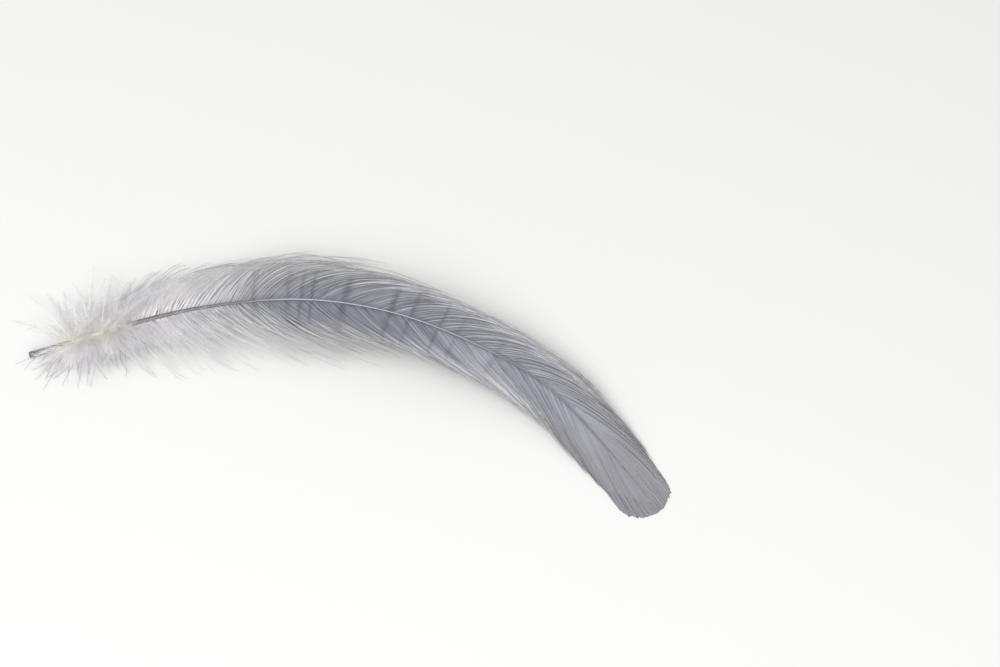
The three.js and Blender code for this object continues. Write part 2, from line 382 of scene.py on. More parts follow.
def along(profile, station):
    """Value of a (station, value) profile at a station, straight between its points."""
    for (start, low), (end, high) in zip(profile, profile[1:]):
        if station <= end:
            share = max(0, (station - start) / (end - start))
            return low + (high - low) * share
    return profile[-1][1]


class Field:
    """A value of a node tree. A sum of fields adds the maths nodes that work it out."""

    def __init__(self, tree, socket):
        self.tree = tree
        self.socket = socket

    def __add__(self, other):
        return self.tree.maths("ADD", self, other)

    def __sub__(self, other):
        return self.tree.maths("SUBTRACT", self, other)

    def __rsub__(self, other):
        return self.tree.maths("SUBTRACT", other, self)

    def __mul__(self, other):
        return self.tree.maths("MULTIPLY", self, other)

    def __truediv__(self, other):
        return self.tree.maths("DIVIDE", self, other)

    def __pow__(self, other):
        return self.tree.maths("POWER", self, other)

    __radd__ = __add__
    __rmul__ = __mul__


class Direction(Field):
    """A vector of a node tree, with the vector forms of the same sums."""

    def __add__(self, other):
        return self.tree.vector_maths("ADD", self, other)

    def __sub__(self, other):
        return self.tree.vector_maths("SUBTRACT", self, other)

    def __mul__(self, factor):
        node = self.tree.add("ShaderNodeVectorMath", {"Vector": self, "Scale": factor}, operation="SCALE")
        return Direction(self.tree, node.outputs["Vector"])

    def cross(self, other):
        return self.tree.vector_maths("CROSS_PRODUCT", self, other)

    def unit(self):
        return self.tree.vector_maths("NORMALIZE", self)


class Tree:
    """Adds nodes to a node tree and links them."""

    def __init__(self, group):
        self.group = group

    def add(self, kind, inputs=None, **settings):
        node = self.group.nodes.new(kind)
        for name, value in settings.items():
            setattr(node, name, value)
        for key, value in (inputs or {}).items():
            self.feed(node.inputs[key], value)
        return node

    def feed(self, socket, value):
        if isinstance(value, Field):
            self.group.links.new(value.socket, socket)
        elif isinstance(value, bpy.types.NodeSocket):
            self.group.links.new(value, socket)
        else:
            socket.default_value = value

    def maths(self, operation, *values):
        node = self.add("ShaderNodeMath", dict(enumerate(values)), operation=operation)
        return Field(self, node.outputs[0])

    def vector_maths(self, operation, *values):
        node = self.add("ShaderNodeVectorMath", dict(enumerate(values)), operation=operation)
        return Direction(self, node.outputs["Vector"])

    def vector(self, *values):
        return Direction(self, self.add("ShaderNodeCombineXYZ", dict(enumerate(values))).outputs[0])

    def profile(self, points, station):
        """Smooth curve through (station, value) points, read at a station in millimetres."""
        top = max(value for _, value in points)
        node = self.add("ShaderNodeFloatCurve", {"Value": station / VANE_LENGTH})
        curve = node.mapping.curves[0]
        while len(curve.points) < len(points):
            curve.points.new(1, 1)
        for point, (x, value) in zip(curve.points, points):
            point.location = (x / VANE_LENGTH, value / top)
            point.handle_type = "AUTO_CLAMPED"
        node.mapping.update()
        return Field(self, node.outputs["Value"]) * top

    def ramp(self, value, start, end, low=0.0, high=1.0, smooth=True):
        """Step from low to high while value goes from start to end."""
        inputs = {"Value": value, "From Min": start, "From Max": end, "To Min": low, "To Max": high}
        node = self.add("ShaderNodeMapRange", inputs, interpolation_type="SMOOTHSTEP" if smooth else "LINEAR")
        return Field(self, node.outputs["Result"])


class GrowthTree(Tree):
    """A geometry node group with named inputs. Its lengths are in millimetres, its places in metres."""

    def __init__(self, name, inputs):
        super().__init__(bpy.data.node_groups.new(name, "GeometryNodeTree"))
        interface = self.group.interface
        interface.new_socket("Geometry", in_out="INPUT", socket_type="NodeSocketGeometry")
        for label, kind in inputs:
            interface.new_socket(label, in_out="INPUT", socket_type=kind)
        interface.new_socket("Geometry", in_out="OUTPUT", socket_type="NodeSocketGeometry")
        self.entry = self.add("NodeGroupInput")
        self.exit = self.add("NodeGroupOutput")
        to_curve = self.add("GeometryNodeMeshToCurve", {"Mesh": self.entry.outputs["Geometry"]})
        self.line = to_curve.outputs["Curve"]
        self.up = self.vector(0, 0, 1)

    def input(self, label):
        return Field(self, self.entry.outputs[label])

    def attribute(self, name):
        node = self.add("GeometryNodeInputNamedAttribute", data_type="FLOAT")
        node.inputs["Name"].default_value = name
        return Field(self, node.outputs["Attribute"])

    def store(self, geometry, **values):
        for name, value in values.items():
            node = self.add("GeometryNodeStoreNamedAttribute", data_type="FLOAT", domain="POINT")
            self.feed(node.inputs["Geometry"], geometry)
            self.feed(node.inputs["Name"], name)
            self.feed(node.inputs["Value"], value)
            geometry = node.outputs["Geometry"]
        return geometry

    def random(self, low, high, number, stream):
        """Random value between low and high, the same for all points with that number."""
        node = self.add("FunctionNodeRandomValue", data_type="FLOAT")
        sockets = {socket.name: socket for socket in node.inputs if socket.enabled}
        self.feed(sockets["Min"], low)
        self.feed(sockets["Max"], high)
        self.feed(sockets["ID"], number)
        self.feed(sockets["Seed"], self.input("Seed") + stream)
        return Field(self, next(socket for socket in node.outputs if socket.enabled))

    def shaft_frame(self, station):
        """Place on the shaft's middle line at a station, the way ahead, and the way sideways."""
        inside = self.maths("MAXIMUM", self.maths("MINIMUM", station, MIDDLE_LINE.length - LINE_MARGIN), 0)
        inputs = {"Curves": self.line, "Length": inside * MM}
        node = self.add("GeometryNodeSampleCurve", inputs, mode="LENGTH")
        ahead = Direction(self, node.outputs["Tangent"])
        place = Direction(self, node.outputs["Position"]) + ahead * ((station - inside) * MM)
        return place, ahead, self.up.cross(ahead).unit()

    def above_ground(self, place, gap):
        """The same place, at least a gap above the ground."""
        parts = self.add("ShaderNodeSeparateXYZ", {0: place}).outputs
        height = self.maths("MAXIMUM", Field(self, parts["Z"]), gap * MM)
        return self.vector(parts["X"], parts["Y"], height)

    def strands(self, count):
        """Closed round strands, with attributes that place a vertex along and across its strand."""
        inputs = {"Vertices": self.input("Sides"), "Side Segments": self.input("Steps")}
        inputs.update({"Radius": 1.0, "Depth": 1.0})
        strand = self.add("GeometryNodeMeshCylinder", inputs, fill_type="NGON").outputs["Mesh"]
        position = self.add("GeometryNodeInputPosition").outputs[0]
        parts = self.add("ShaderNodeSeparateXYZ", {0: position}).outputs
        across, thick, height = [Field(self, socket) for socket in parts]
        strand = self.store(strand, along=height + 0.5, across=across, thick=thick)
        points = self.add("GeometryNodePoints", {"Count": count}).outputs[0]
        points = self.store(points, number=self.add("GeometryNodeInputIndex").outputs[0])
        copies = self.add("GeometryNodeInstanceOnPoints", {"Points": points, "Instance": strand}).outputs[0]
        return self.add("GeometryNodeRealizeInstances", {"Geometry": copies}).outputs[0]

    def place_strands(self, geometry, centre, heading, normal, half_width, half_thickness, roll=0.0):
        """Moves each vertex to its place round its strand's middle line, and keeps it off the ground."""
        beside = normal.cross(heading).unit()
        over = heading.cross(beside)
        turn_cos = self.maths("COSINE", roll)
        turn_sin = self.maths("SINE", roll)
        flat = self.attribute("across") * half_width * MM
        thick = self.attribute("thick") * half_thickness * MM
        place = centre + beside * (flat * turn_cos - thick * turn_sin)
        place = self.above_ground(place + over * (flat * turn_sin + thick * turn_cos), GROUND_GAP)
        return self.add("GeometryNodeSetPosition", {"Geometry": geometry, "Position": place}).outputs[0]

    def finish(self, geometry):
        smooth = self.add("GeometryNodeSetShadeSmooth", {"Geometry": geometry}).outputs[0]
        whole = self.add("GeometryNodeRealizeInstances", {"Geometry": smooth}).outputs[0]
        painted = self.add("GeometryNodeSetMaterial", {"Geometry": whole, "Material": self.input("Material")})
        self.feed(self.exit.inputs["Geometry"], painted.outputs[0])
        return self.group


def counts(*labels):
    return [(label, "NodeSocketInt") for label in labels]


def sizes(*labels):
    return [(label, "NodeSocketFloat") for label in labels]


STRAND_INPUTS = [("Material", "NodeSocketMaterial")] + counts("Seed", "Sides", "Steps")
BARB_LINE_INPUTS = (
    counts("Barbs")
    + sizes("Side", "First Root", "Last Root", "Crowding", "Reach", "Reach Spread", "Overlength", "Breakage")
    + sizes("Lift", "Waver", "Lock Size", "Lock Pull")
)


def root_station(tree, number):
    """Station of a barb's root: barbs stand closer together towards the tip."""
    rest = tree.maths("MAXIMUM", 1 - number / tree.input("Barbs"), 0)
    span = tree.input("Last Root") - tree.input("First Root")
    return tree.input("First Root") + span * (1 - rest ** tree.input("Crowding"))


class BarbLine:
    """Middle line of the barb with a given number, at the share t of its length."""

    def __init__(self, tree, number, t):
        self.tree = tree
        side = tree.input("Side")
        self.is_far = side * 0.5 + 0.5

        # Root of the barb, drawn towards the middle of its lock as it runs out.
        self.root = root_station(tree, number + tree.random(*ROOT_JITTER, number, 1))
        uneven = tree.maths("SINE", self.root * LOCK_WAVES) * LOCK_WAVE_SIZE
        self.lock = tree.maths("FLOOR", self.root / tree.input("Lock Size") + uneven)
        lock_middle = (self.lock - uneven + 0.5) * tree.input("Lock Size")
        unevenness = tree.profile(UNEVENNESS, self.root)
        broken = self.by_side(BROKEN, self.root) * tree.input("Breakage")
        is_broken = tree.maths("LESS_THAN", tree.random(0.0, 1.0, number, 17), broken)
        missing = is_broken * self.by_side(MISSING, self.root) * tree.random(*MISSING_SPREAD, number, 18)
        self.t = t = t * (1 - unevenness * tree.random(*LENGTH_LOST, number, 14)) * (1 - missing)
        hold = tree.input("Lock Pull") * tree.profile(LOCK_HOLD, self.root)
        pull = (lock_middle - self.root) * hold * tree.random(*LOCK_DRAW, number, 2)
        drawn = self.root + pull * t ** LOCK_DRAW_POWER
        bunch = (tree.maths("FLOOR", self.root / BUNCH_SIZE - uneven) + uneven + 0.5) * BUNCH_SIZE
        bunched = tree.ramp(t, BUNCH_FROM, BUNCH_TO, 0.0, BUNCH_MOST)
        bunched = bunched * tree.random(*BUNCH_SPREAD, self.lock, 15)
        drawn = drawn + (bunch - drawn) * hold * bunched

        # Reach sideways, lead ahead and sag of the whole barb. Past the last long barbs the blunt tip rules.
        tip_share = tree.ramp(drawn, TIP_FROM, TIP_LAST_ROOT, smooth=False)
        side_share = 1 - tip_share ** TIP_TAPER
        flank = tree.maths("SQRT", tree.maths("MAXIMUM", 1 - side_share * side_share, 0))
        tip_lead = VANE_LENGTH - TIP_ROUNDING * (1 - flank) - drawn
        lead = tree.profile(LEAD, drawn)
        lead = lead + (tip_lead - lead) * tree.maths("GREATER_THAN", drawn, TIP_FROM)
        uneven_lead = tree.random(*LOOSE_LOCK_LEAD, self.lock, 16) + tree.random(*LOOSE_BARB_LEAD, number, 19)
        uneven_lead = uneven_lead + tree.input("Overlength") * tree.random(0.0, 1.0, number, 20) ** 3
        lead = lead * (1 + tree.random(*LEAD_SPREAD, number, 3) * side_share + unevenness * uneven_lead)
        spread = tree.input("Reach Spread") * unevenness * side_share
        reach = self.by_side(REACH, drawn) * side_share * tree.input("Reach")
        uneven_reach = tree.random(*BARB_REACH, number, 4) + tree.random(*LOCK_REACH, self.lock, 5)
        reach = reach * (1 + spread * uneven_reach)
        sag = self.by_side(SAG, drawn)
        web_share = tree.profile(WEB_SHARE, self.root) + tree.random(*LOCK_WEB, self.lock, 9)
        self.free = tree.ramp(t, web_share - WEB_FADE, web_share + WEB_FADE * 0.6)
        self.pale = tree.ramp(t, web_share - WEB_FADE * 2, web_share + WEB_FADE)
        uneven_lift = tree.random(*LIFT_SPREAD, number, 6) + tree.random(*LIFT_SPREAD, self.lock, 7)
        lift = tree.input("Lift") * uneven_lift * (LIFT_IN_WEB + self.free * (1 - LIFT_IN_WEB))
        lift = lift * (LIFT_AT_TIP + side_share * (1 - LIFT_AT_TIP))

        self.station = drawn + lead * (t * LEAD_BEND + t * t * (1 - LEAD_BEND))
        place, ahead, sideways = tree.shaft_frame(self.station)
        rest = tree.maths("MAXIMUM", 1 - t, SHORTEST_REST)
        bow = tree.profile(REACH_BOW, drawn)
        phase = tree.random(0, FULL_TURN, number, 8)
        sway = tree.input("Waver") * t * tree.maths("SINE", t * SWAY_WAVES + phase)
        place = place + sideways * ((reach * (1 - rest ** bow) * side + sway) * MM)
        place = place + tree.up * ((lift * t * t - sag * t ** SAG_BOW) * MM)
        pile = tree.random(BARB_GAP, BARB_PILE, number, 13)
        pile = pile * tree.ramp(drawn, PILE_FULL, PILE_LOW, 1.0, TIP_PILE)
        self.place = tree.above_ground(place, pile)

        # Heading of the same line, and the upward normal of the vane there.
        gain = lead * (LEAD_BEND + t * (2 - 2 * LEAD_BEND))
        spring = reach * bow * rest ** (bow - 1) * side
        drop = lift * t * 2 - sag * SAG_BOW * t ** (SAG_BOW - 1)
        self.heading = (ahead * gain + sideways * spring + tree.up * drop).unit()
        self.normal = (ahead.cross(self.heading) * side + tree.up * VANE_TILT).unit()

    def by_side(self, profiles, station):
        """Value of the far or near side's profile at a station."""
        near = self.tree.profile(profiles[NEAR], station)
        return near + (self.tree.profile(profiles[FAR], station) - near) * self.is_far


def barb_tree():
    """Barbs on one side of the shaft: webbed together near it, and running out into free ends."""
    own_inputs = sizes("Web Width", "Free Width", "Thickness", "Roll")
    tree = GrowthTree("Barbs", STRAND_INPUTS + BARB_LINE_INPUTS + own_inputs)
    mesh = tree.strands(tree.input("Barbs"))
    number = tree.attribute("number")
    t = tree.attribute("along")
    barb = BarbLine(tree, number, t)

    web = tree.input("Web Width") * tree.profile(WEB_WIDTH, barb.root)
    free = tree.input("Free Width") * tree.profile(FREE_WIDTH, barb.root) * (1 - barb.t * FREE_TAPER)
    end_taper = tree.ramp(barb.root, END_TAPER_FROM, END_TAPER_TO, END_TAPER, TIP_END_TAPER)
    end = 1 - t ** END_POWER * end_taper
    half_width = (web + (free - web) * barb.free) * end * 0.5
    half_thickness = tree.input("Thickness") * end * 0.5
    roll = tree.input("Roll") * tree.random(*ROLL_SPREAD, number, 10) * tree.input("Side")
    roll = roll * tree.ramp(barb.root, ROLL_FULL, ROLL_LOW, 1.0, TIP_ROLL)
    mesh = tree.place_strands(mesh, barb.place, barb.heading, barb.normal, half_width, half_thickness, roll)
    mesh = tree.store(
        mesh,
        root=barb.root,
        station=barb.station,
        free=barb.free,
        pale=barb.pale,
        outward=barb.t,
        is_far=barb.is_far,
        tint=tree.random(0, 1, number, 11),
        lock_tint=tree.random(0, 1, barb.lock, 12),
    )
    return tree.finish(mesh)


HAIR_INPUTS = (
    counts("Hairs per Stem")
    + sizes("Hair From", "Hair To", "Hair Length", "Hair Width", "Spread Angle")
)


def stem_of(tree, hair):
    """Number of the stem that a hair grows on, and how far along the stem's row of hairs it stands."""
    shares = (hair + 0.5) / tree.input("Hairs per Stem")
    return tree.maths("FLOOR", shares), tree.maths("FRACT", shares)


def place_hairs(tree, mesh, hair, stem):
    """Lays soft hairs out from their stem, to both sides of it and round it."""
    s = tree.attribute("along")
    is_left = tree.maths("MODULO", hair, 2) * 2 - 1
    spread = tree.input("Spread Angle") * tree.random(*HAIR_ANGLES, hair, 31)
    round_stem = tree.random(*HAIR_ROUND, hair, 32)
    beside = stem.normal.cross(stem.heading).unit()
    over = stem.heading.cross(beside)
    out = beside * (tree.maths("COSINE", round_stem) * is_left) + over * tree.maths("SINE", round_stem)
    start = stem.heading * tree.maths("COSINE", spread) + out * tree.maths("SINE", spread)
    length = tree.input("Hair Length") * tree.random(*HAIR_LENGTHS, hair, 33) * (1 - stem.t * OUTER_HAIR_LOSS)
    length = length * tree.ramp(stem.root, FLUFF_THINS, LAST_FLUFF_ROOT, 1.0, LAST_HAIR_LENGTH)
    curl = stem.heading * tree.random(*HAIR_LEAN, hair, 34) - tree.up * tree.random(*HAIR_DROOP, hair, 35)
    place = stem.place + (start * s + curl * (s * s)) * (length * MM)
    heading = (start + curl * (s * 2)).unit()
    half_width = tree.input("Hair Width") * (1 - s * HAIR_TAPER) * 0.5
    mesh = tree.place_strands(mesh, place, heading, tree.up, half_width, half_width)
    return tree.store(mesh, tint=tree.random(0, 1, hair, 36))


def fluff_tree():
    """Soft hairs on the barbs at the foot of one side of the vane."""
    tree = GrowthTree("Fluff", STRAND_INPUTS + BARB_LINE_INPUTS + HAIR_INPUTS)
    mesh = tree.strands(tree.input("Barbs") * tree.input("Hairs per Stem"))
    hair = tree.attribute("number")
    barb_number, share = stem_of(tree, hair)
    root = root_station(tree, barb_number)
    bare = tree.input("Hair From") + tree.ramp(root, COMB_FROM, COMB_FULL, 0.0, COMB_SHARE)
    t = tree.ramp(share, 0.0, 1.0, bare, tree.input("Hair To"), smooth=False)
    barb = BarbLine(tree, barb_number, t)
    mesh = place_hairs(tree, mesh, hair, barb)
    mesh = tree.store(mesh, root=barb.root, station=barb.station, stem=t)
    return tree.finish(mesh)


def is_far_stem(tree, number):
    """Soft barbs grow on the near and the far side in turn: 1 for one on the far side."""
    return tree.maths("MODULO", number, 2)


class DownLine:
    """Middle line of the soft barb with a given number, at the share t of its length."""

    def __init__(self, tree, number, t):
        self.t = t
        share = tree.random(0.0, 1.0, number, 1)
        self.root = DOWN_FIRST + share * (DOWN_LAST - DOWN_FIRST)
        is_far = is_far_stem(tree, number)
        side = is_far * 2 - 1
        near_turn, far_turn = [
            DOWN_TURN[name][0] + share * (DOWN_TURN[name][1] - DOWN_TURN[name][0]) for name in (NEAR, FAR)
        ]
        turn = near_turn + (far_turn - near_turn) * is_far + tree.random(*DOWN_TURN_SPREAD, number, 2)
        on_top = tree.maths("LESS_THAN", tree.random(0.0, 1.0, number, 8), DOWN_ON_TOP)
        turn = turn + (tree.random(*TOP_DOWN_TURN, number, 9) - turn) * on_top
        turn = turn * math.radians(1)
        place, ahead, sideways = tree.shaft_frame(self.root)
        level = sideways * (tree.maths("COSINE", turn) * side) + ahead * tree.maths("SINE", turn)
        bend = tree.up.cross(level) * tree.random(*DOWN_BEND, number, 10)
        length = tree.input("Stem Length") * tree.random(*DOWN_LENGTHS, number, 3)
        length = length * (1 - on_top * TOP_DOWN_SHORTER) * (1 + is_far * (FAR_DOWN_SHARE - 1))
        rise = tree.random(*DOWN_RISE, number, 4) + on_top * TOP_DOWN_HIGHER
        rise = rise * (1 - is_far * FAR_DOWN_LOWER)
        fall = rise * FALL_SHARE + tree.random(*DOWN_FALL, number, 5)
        run = t - t * t * DOWN_SHORTENS
        height = rise * t - fall * t * t
        place = place + (level * run + bend * (t * t) + tree.up * height) * (length * MM)
        self.place = tree.above_ground(place, tree.random(BARB_GAP, BARB_PILE, number, 7))
        slope = tree.up * (rise - fall * t * 2)
        self.heading = (level * (1 - t * (2 * DOWN_SHORTENS)) + bend * (t * 2) + slope).unit()
        self.normal = (tree.up + level * 0.01).unit()


def down_stem_tree():
    """Stems of the soft barbs round the foot of the shaft."""
    tree = GrowthTree("Down Stems", STRAND_INPUTS + counts("Stems") + sizes("Stem Length", "Stem Width"))
    mesh = tree.strands(tree.input("Stems"))
    number = tree.attribute("number")
    t = tree.attribute("along")
    stem = DownLine(tree, number, t)
    half_width = tree.input("Stem Width") * (1 - t * STEM_TAPER) * 0.5
    mesh = tree.place_strands(mesh, stem.place, stem.heading, stem.normal, half_width, half_width)
    tint = tree.random(0, 1, number, 6)
    bare = t * (1 - is_far_stem(tree, number) * FAR_DOWN_SOFTER)
    return tree.finish(tree.store(mesh, root=stem.root, station=stem.root, stem=t, tint=tint, bare=bare))


def down_hair_tree():
    """Soft hairs on the stems round the foot of the shaft."""
    tree = GrowthTree("Down Hairs", STRAND_INPUTS + counts("Stems") + sizes("Stem Length") + HAIR_INPUTS)
    mesh = tree.strands(tree.input("Stems") * tree.input("Hairs per Stem"))
    hair = tree.attribute("number")
    number, share = stem_of(tree, hair)
    last = tree.input("Hair To") + is_far_stem(tree, number) * FAR_HAIR_SHARE
    t = tree.ramp(share, 0.0, 1.0, tree.input("Hair From"), last, smooth=False)
    stem = DownLine(tree, number, t)
    mesh = place_hairs(tree, mesh, hair, stem)
    mesh = tree.store(mesh, root=stem.root, station=stem.root, stem=t)
    return tree.finish(mesh)


def grow(name, group, values):
    """Runs a node tree on the shaft's middle line and keeps the result as a plain mesh."""
    line = bpy.data.meshes.new("middle_line")
    steps = range(len(MIDDLE_LINE.points) - 1)
    line.from_pydata([point * MM for point in MIDDLE_LINE.points], [(step, step + 1) for step in steps], [])
    holder = bpy.data.objects.new("middle_line", line)
    bpy.context.scene.collection.objects.link(holder)
    modifier = holder.modifiers.new("Growth", "NODES")
    modifier.node_group = group
    sockets = {item.name: item.identifier for item in group.interface.items_tree if item.in_out == "INPUT"}
    for label, value in values.items():
        modifier[sockets[label]] = value
    depsgraph = bpy.context.evaluated_depsgraph_get()
    evaluated = holder.evaluated_get(depsgraph)
    mesh = bpy.data.meshes.new_from_object(evaluated, preserve_all_data_layers=True, depsgraph=depsgraph)
    bpy.data.objects.remove(holder)
    bpy.data.meshes.remove(line)
    for unused in ("number", "thick"):
        if unused in mesh.attributes:
            mesh.attributes.remove(mesh.attributes[unused])
    if not mesh.polygons:
        raise RuntimeError(f"{name} came out empty")
    return place_piece(name, mesh)


def place_piece(name, mesh):
    mesh.name = name
    piece = bpy.data.objects.new(name, mesh)
    bpy.context.scene.collection.objects.link(piece)
    return piece


def hand_over(piece):
    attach(piece, BODY)
    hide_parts(SOLID)


class Finish(Tree):
    """A material on one principled shader, whose colours follow the pieces' attributes."""

    def __init__(self, name, constants):
        self.material = bpy.data.materials.new(name)
        self.material.use_nodes = True
        super().__init__(self.material.node_tree)
        self.shader = self.group.nodes["Principled BSDF"]
        for label, value in constants.items():
            self.shader.inputs[label].default_value = value
        self.object_place = self.add("ShaderNodeTexCoord").outputs["Object"]

    def attribute(self, name):
        return Field(self, self.add("ShaderNodeAttribute", attribute_name=name).outputs["Fac"])

    def mix(self, share, first, second):
        """Blend of two colours, each a setting or a socket."""
        first, second = [(*value, 1.0) if isinstance(value, Color) else value for value in (first, second)]
        inputs = {0: share, 6: first, 7: second}
        return self.add("ShaderNodeMix", inputs, data_type="RGBA", clamp_factor=True).outputs[2]

    def noise(self, place, scale, detail=2.0):
        node = self.add("ShaderNodeTexNoise", {"Vector": place, "Scale": scale, "Detail": detail})
        return Field(self, node.outputs["Fac"])

    def bars(self, station):
        """Strength of the growth bars at a station."""
        node = self.add("ShaderNodeValToRGB", {"Fac": station / VANE_LENGTH})
        ramp = node.color_ramp
        ramp.interpolation = "EASE"
        ramp.elements.remove(ramp.elements[1])
        ramp.elements[0].position = 0
        ramp.elements[0].color = (0, 0, 0, 1)
        for centre, half_width, strength in GROWTH_BARS:
            for place, level in ((centre - half_width, 0), (centre, strength), (centre + half_width, 0)):
                ramp.elements.new(place / VANE_LENGTH).color = (level, level, level, 1)
        return Field(self, node.outputs["Color"])

    def bump(self, height, distance, strength):
        node = self.add("ShaderNodeBump", {"Height": height, "Distance": distance, "Strength": strength})
        self.feed(self.shader.inputs["Normal"], node.outputs["Normal"])

    def finish(self, colour, roughness=None):
        self.feed(self.shader.inputs["Base Color"], colour)
        if roughness is not None:
            self.feed(self.shader.inputs["Roughness"], roughness)
        return self.material


def shaft_finish(settings):
    """Horn: slate at the cut, cream in the down, warm grey, then a painted highlight along the top between
    painted shade on the sides and underside.
    """
    finish = Finish("shaft_horn", {"Coat Weight": 0.15, "Coat Roughness": 0.25})
    station = finish.attribute("station")
    over = finish.attribute("over")
    streaks = finish.noise(finish.vector(station * 0.5, over * 2.5, 0.3), 3.0, 4.0)
    blotches = finish.noise(finish.object_place, 900.0, 3.0)
    quill = finish.mix(finish.ramp(station + blotches * 6, 4.5, 10), settings.cut_end, settings.quill)
    quill = finish.mix(finish.ramp(station + blotches * 2, 8, 11.5), quill, settings.foot)
    stem = finish.mix(finish.ramp(station + streaks * 6, 17, 27), quill, settings.stem)
    # Painted highlight on the top of the outer shaft and painted shade on its sides, set by which way each
    # face turns.
    top_highlight = finish.ramp(over + streaks * 0.2, 0.62, 0.9)
    outer = finish.mix(top_highlight, settings.edge, settings.core)
    colour = finish.mix(finish.ramp(station, 42, 56), stem, outer)
    # Painted shade on the underside and low sides of the shaft past the down.
    sides = finish.ramp(over, 0.1, 0.75, 0.55, 0.0)
    colour = finish.mix(sides * finish.ramp(station, 18, 30), colour, settings.edge)
    colour = finish.mix(finish.ramp(streaks, 0.45, 0.75, 0.0, 0.3), colour, settings.core)
    colour = finish.mix(finish.ramp(station, 84, 98), colour, settings.outermost)
    finish.bump(streaks + blotches * 0.5, 0.00004, 0.5)
    roughness = finish.ramp(blotches, 0.3, 0.7, settings.roughness - 0.08, settings.roughness + 0.12)
    return finish.finish(colour, roughness)


def barb_finish(settings):
    """Barbs: grey blue silk with growth bars, pale at the vane's foot, at the free ends and at the tip, with
    painted shade on the near vane and in the gaps between barbs.
    """
    finish = Finish("barb_silk", {"Sheen Weight": 0.25, "Sheen Roughness": 0.4, "Specular IOR Level": 0.4})
    t = finish.attribute("along")
    station = finish.attribute("station")
    root = finish.attribute("root")
    free = finish.attribute("free")
    pale = finish.attribute("pale")
    across = finish.attribute("across")
    tint = finish.attribute("tint")
    lock_tint = finish.attribute("lock_tint")
    cloud = finish.noise(finish.object_place, 140.0, 3.0)
    flecks = finish.noise(finish.vector(root * 0.8, t * 3, tint), 2.2, 4.0)
    is_far = finish.attribute("is_far")

    # Web: barbs of different greys with dark bars and painted shade on the near vane, paler where they come
    # loose and lilac at the tip.
    shade = tint * 0.7 + lock_tint * 0.12 + cloud * 0.6 + flecks * 0.3 - 0.66
    # Painted shade: the near vane is made darker and the far vane lighter, as a shaded side and a lit side.
    shade = shade + is_far * 0.24 - 0.1
    shade = shade + finish.ramp(station, 74, 98, 0.0, 0.25)
    web = finish.mix(shade, settings.web_dark, settings.web_light)
    ragged = station + flecks * 1.6 - 0.8
    bar = finish.bars(ragged) * finish.ramp(cloud + lock_tint * 0.25, 0.35, 0.7, 0.5, 1.0)
    bar = bar * finish.ramp(free, 0.2, 0.9, 1.0, 0.1)
    web = finish.mix(bar * 0.95, web, settings.growth_bar)
    colour = finish.mix(pale * (0.4 + tint * 0.55), web, settings.free_end)
    colour = finish.mix(finish.ramp(station, 100, 132, 0.0, 0.75), colour, settings.tip)

    # Foot of the vane: nearly white, with greyer ends; the grey is weaker on the near side, painted light
    # that brightens that side's shaded foot.
    darker = finish.ramp(tint, 0.3, 0.8) * finish.ramp(t, 0.1, 0.4)
    foot = finish.mix(darker, settings.foot, settings.foot_dark)
    # Painted light: the near side gets less of the grey ends than the far side.
    outward = finish.ramp(finish.attribute("outward"), 0.5, 0.9) * (is_far * 0.3 + 0.5)
    foot = finish.mix(outward, foot, settings.foot_end)
    colour = finish.mix(finish.ramp(root + flecks * 8, 28, 58, 0.95, 0.0), colour, foot)

    # Painted shade: some barbs of the comb are darkened to stand for the shaded gaps between them, the roots
    # of the web's barbs are darkened by the shaft, and the barbs' edges are darkened where the gaps between
    # them fall in shade.
    comb = finish.ramp(tint, 0.5, 0.62, 0.0, 0.42) * finish.ramp(t, 0.2, 0.45, 1.0, 0.0)
    comb = comb * finish.ramp(root, 17, 24) * finish.ramp(root, 44, 56, 1.0, 0.0) * (1 - is_far * 0.7)
    colour = finish.mix(comb, colour, settings.crease_shade)
    crease_shade = finish.ramp(t, 0.0, 0.1, 0.55, 0.0) * finish.ramp(root, 26, 46)
    colour = finish.mix(crease_shade, colour, settings.crease_shade)
    edge = finish.ramp(across * across, 0.15, 1.0, 0.0, 0.55) * (1 - free * 0.8)
    edge = edge * finish.ramp(station, 96, 124, 1.0, 0.35) * finish.ramp(root, 20, 27, 0.1, 1.0)
    colour = finish.mix(edge, colour, settings.crease_shade)

    hooks = finish.maths("SINE", t * 900 + across * 9)
    finish.bump(hooks * 0.4 + flecks, 0.00003, 0.5)
    return finish.finish(colour, finish.ramp(flecks, 0.25, 0.75, 0.4, 0.62))


def down_finish(settings):
    """Down: cream at the shaft, then white and lilac grey hairs."""
    finish = Finish("down_fluff", {"Sheen Weight": 0.5, "Sheen Roughness": 0.5, "Specular IOR Level": 0.2})
    stem = finish.attribute("stem")
    station = finish.attribute("station")
    tint = finish.attribute("tint")
    cloud = finish.noise(finish.object_place, 160.0, 3.0)
    grain = finish.noise(finish.object_place, 2600.0, 2.0)
    shade = finish.ramp(cloud + tint * 0.3, 0.35, 0.9)
    colour = finish.mix(shade, settings.white, settings.lilac)
    near_shaft = finish.ramp(stem, 0.0, 0.4, 0.85, 0.0) * finish.ramp(station, 16, 26, 1.0, 0.2)
    colour = finish.mix(near_shaft, colour, settings.cream)
    colour = finish.mix(finish.ramp(finish.attribute("root") + tint * 6, 32, 46), colour, settings.dusk)
    colour = finish.mix(finish.ramp(finish.attribute("bare"), 0.3, 0.8), colour, settings.spike)
    finish.bump(grain, 0.00003, 0.4)
    return finish.finish(colour, finish.ramp(grain, 0.3, 0.7, 0.7, 0.9))


